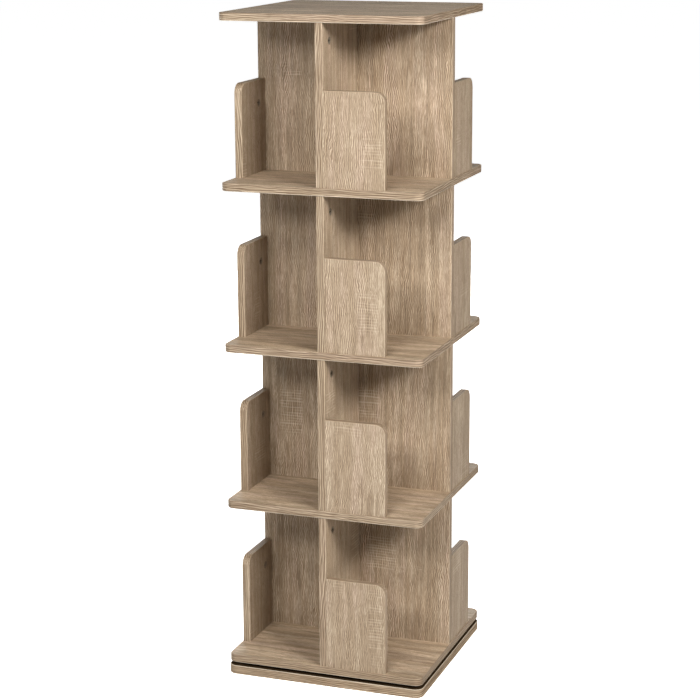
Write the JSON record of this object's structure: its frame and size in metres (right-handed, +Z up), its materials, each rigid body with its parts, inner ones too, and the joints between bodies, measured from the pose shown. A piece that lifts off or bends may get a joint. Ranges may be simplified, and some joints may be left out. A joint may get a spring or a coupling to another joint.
{
  "type": "revolving bookcase",
  "caption": "Tall square revolving bookcase: tiers of open corner compartments about a cross of dividers, with short book stops, on a ball-bearing turntable base.",
  "frame": {"origin": "centre of the base board's underside, where it stands on the floor", "axes": "+Z up along the turning axis; -Y is the front as pictured and +X is to its right"},
  "size_m": [0.402, 0.402, 1.3],
  "materials": {
    "oak_foil": "matt light grey-brown oak foil on board, with embossed grain",
    "cast_zinc": "raw die-cast zinc",
    "zinc_plated_steel": "bright zinc plate",
    "beech": "plain turned beech",
    "galvanised_steel": "galvanised pressed sheet",
    "nylon": "natural moulded nylon",
    "ball_steel": "polished hardened steel"
  },
  "bodies": {
    "base": {"base_board": "oak_foil", "turntable_lower_plate": "galvanised_steel", "lower_plate_screws": "zinc_plated_steel"},
    "ball_ring": {"ball_cage": "nylon", "bearing_balls": "ball_steel"},
    "carousel": {"bottom_board": "oak_foil", "lower_shelf": "oak_foil", "middle_shelf": "oak_foil", "upper_shelf": "oak_foil", "top_board": "oak_foil", "cross_divider_tier_1": "oak_foil", "front_divider_tier_1": "oak_foil", "back_divider_tier_1": "oak_foil", "cross_divider_tier_2": "oak_foil", "front_divider_tier_2": "oak_foil", "back_divider_tier_2": "oak_foil", "cross_divider_tier_3": "oak_foil", "front_divider_tier_3": "oak_foil", "back_divider_tier_3": "oak_foil", "cross_divider_tier_4": "oak_foil", "front_divider_tier_4": "oak_foil", "back_divider_tier_4": "oak_foil", "right_stop_tier_1": "oak_foil", "back_stop_tier_1": "oak_foil", "left_stop_tier_1": "oak_foil", "front_stop_tier_1": "oak_foil", "right_stop_tier_2": "oak_foil", "back_stop_tier_2": "oak_foil", "left_stop_tier_2": "oak_foil", "front_stop_tier_2": "oak_foil", "right_stop_tier_3": "oak_foil", "back_stop_tier_3": "oak_foil", "left_stop_tier_3": "oak_foil", "front_stop_tier_3": "oak_foil", "right_stop_tier_4": "oak_foil", "back_stop_tier_4": "oak_foil", "left_stop_tier_4": "oak_foil", "front_stop_tier_4": "oak_foil", "cam_locks": "cast_zinc", "cam_bolts": "zinc_plated_steel", "panel_screws": "zinc_plated_steel", "upper_plate_screws": "zinc_plated_steel", "dowels": "beech", "centre_dowels": "beech", "turntable_upper_plate": "galvanised_steel"}
  },
  "joints": [
    {"name": "carousel_spin", "type": "hinge", "parent": "base", "child": "carousel", "pos_m": [0, 0, 0.0215], "axis": [0, 0, 1], "continuous": true},
    {"name": "ball_ring_orbit", "type": "hinge", "parent": "base", "child": "ball_ring", "pos_m": [0, 0, 0.0215], "axis": [0, 0, 1], "continuous": true}
  ],
  "couplings": [
    {"joint": "ball_ring_orbit", "follows": "carousel_spin", "ratio": 0.5}
  ]
}
